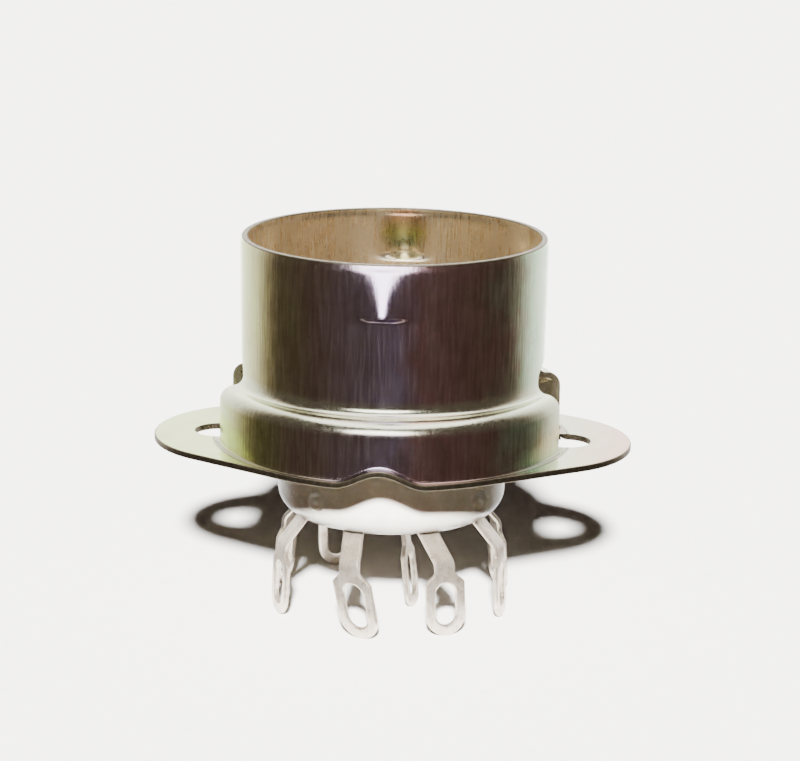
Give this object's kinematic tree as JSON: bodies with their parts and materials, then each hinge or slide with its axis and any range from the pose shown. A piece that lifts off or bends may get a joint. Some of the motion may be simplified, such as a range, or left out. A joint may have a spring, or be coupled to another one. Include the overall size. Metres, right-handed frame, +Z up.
{
  "type": "miniature valve socket with shield base",
  "caption": "Miniature tube socket: white ceramic body with spring contacts and solder lugs, held in a pressed steel shield base with two mounting ears.",
  "frame": {"origin": "on the socket's axis, at the height of the lug tips, centre of the bottom of the bounding box", "axes": "+Z up the axis towards the barrel's rim, +X through the right mounting ear, +Y through the back bump; the front bump and the camera side are at -Y"},
  "size_m": [0.0306, 0.0228, 0.024],
  "materials": {
    "passivated_steel": "zinc plated, iridescent yellow passivate, bright",
    "steatite": "white, glazed",
    "tinned_contact": "tinned, slightly rough",
    "tinned_spigot": "tinned, tarnished"
  },
  "bodies": {
    "base": {"shield_base": "passivated_steel", "ceramic_body": "steatite", "centre_spigot": "tinned_spigot"},
    "contact_1_float": {"contact_1": "tinned_contact"},
    "contact_2_float": {"contact_2": "tinned_contact"},
    "contact_3_float": {"contact_3": "tinned_contact"},
    "contact_4_float": {"contact_4": "tinned_contact"},
    "contact_5_float": {"contact_5": "tinned_contact"},
    "contact_6_float": {"contact_6": "tinned_contact"},
    "contact_7_float": {"contact_7": "tinned_contact"}
  },
  "joints": [
    {"name": "contact_1_rock", "type": "hinge", "parent": "base", "child": "contact_1_float", "pos_m": [-0.00232, 0.00498, 0.00712], "axis": [-0.9063, -0.4226, 0], "range_deg": [-2, 2]},
    {"name": "contact_2_rock", "type": "hinge", "parent": "base", "child": "contact_2_float", "pos_m": [-0.00517, 0.00188, 0.00712], "axis": [-0.342, -0.9397, 0], "range_deg": [-2, 2]},
    {"name": "contact_3_rock", "type": "hinge", "parent": "base", "child": "contact_3_float", "pos_m": [-0.00498, -0.00232, 0.00712], "axis": [0.4226, -0.9063, 0], "range_deg": [-2, 2]},
    {"name": "contact_4_rock", "type": "hinge", "parent": "base", "child": "contact_4_float", "pos_m": [-0.00188, -0.00517, 0.00712], "axis": [0.9397, -0.342, 0], "range_deg": [-2, 2]},
    {"name": "contact_5_rock", "type": "hinge", "parent": "base", "child": "contact_5_float", "pos_m": [0.00232, -0.00498, 0.00712], "axis": [0.9063, 0.4226, 0], "range_deg": [-2, 2]},
    {"name": "contact_6_rock", "type": "hinge", "parent": "base", "child": "contact_6_float", "pos_m": [0.00517, -0.00188, 0.00712], "axis": [0.342, 0.9397, 0], "range_deg": [-2, 2]},
    {"name": "contact_7_rock", "type": "hinge", "parent": "base", "child": "contact_7_float", "pos_m": [0.00498, 0.00232, 0.00712], "axis": [-0.4226, 0.9063, 0], "range_deg": [-2, 2]}
  ]
}
